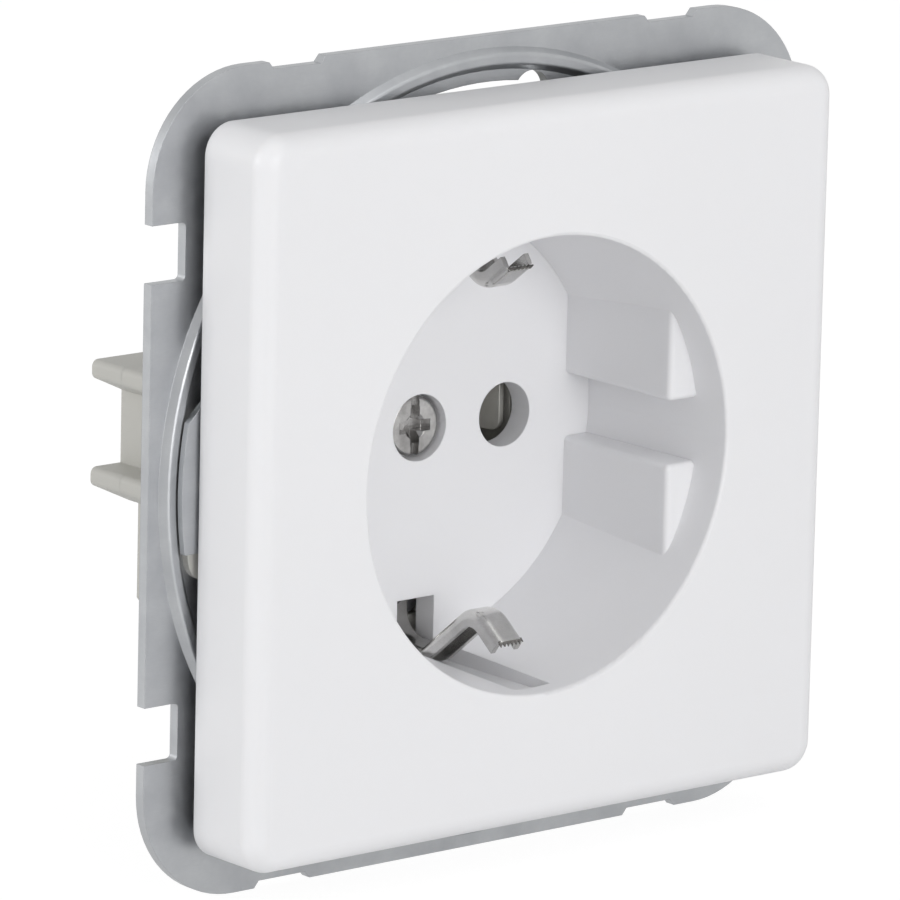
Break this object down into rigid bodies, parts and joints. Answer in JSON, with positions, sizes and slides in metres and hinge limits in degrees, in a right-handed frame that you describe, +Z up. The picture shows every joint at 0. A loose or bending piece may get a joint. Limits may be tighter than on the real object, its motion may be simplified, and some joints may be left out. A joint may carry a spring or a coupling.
{
  "type": "wall socket",
  "caption": "Flush-mounted earthed wall socket: square cover with a round plug well, pin holes and spring earth clips, on a steel support ring.",
  "frame": {"origin": "centre of the box screw pattern, in the plane of the support ring's back face, which lies on the wall", "axes": "+X to the right and +Z up as seen from the room, +Y into the wall along the plug's axis; the plug comes in from -Y"},
  "size_m": [0.071, 0.0375, 0.071],
  "materials": {
    "cover_plastic": "white, fine satin",
    "base_plastic": "off-white, matt",
    "zinc_steel": "zinc plated, dull",
    "nickel_screw": "nickel plated",
    "nickel_spring": "nickel plated, bright",
    "nickel_bronze": "nickel plated",
    "spring_steel": "bare spring steel",
    "terminal_brass": "plain brass"
  },
  "bodies": {
    "root": {"cover": "cover_plastic", "socket_base": "base_plastic", "rear_housing": "base_plastic", "support_ring": "zinc_steel", "left_side_plate": "zinc_steel", "right_side_plate": "zinc_steel", "earth_bracket": "zinc_steel", "cover_screw": "nickel_screw", "upper_earth_clip": "nickel_spring", "lower_earth_clip": "nickel_spring", "upper_clip_rivet": "nickel_spring", "lower_clip_rivet": "nickel_spring", "neutral_contact": "nickel_bronze", "line_contact": "nickel_bronze", "neutral_backing_spring": "spring_steel", "line_backing_spring": "spring_steel", "neutral_terminal": "terminal_brass", "line_terminal": "terminal_brass", "earth_terminal": "terminal_brass", "neutral_terminal_screw": "nickel_screw", "line_terminal_screw": "nickel_screw", "earth_terminal_screw": "nickel_screw", "left_plate_lower_rivet": "zinc_steel", "left_plate_upper_rivet": "zinc_steel", "right_plate_lower_rivet": "zinc_steel", "right_plate_upper_rivet": "zinc_steel", "left_housing_screw": "nickel_screw", "right_housing_screw": "nickel_screw", "lower_housing_screw": "nickel_screw"}
  },
  "joints": []
}
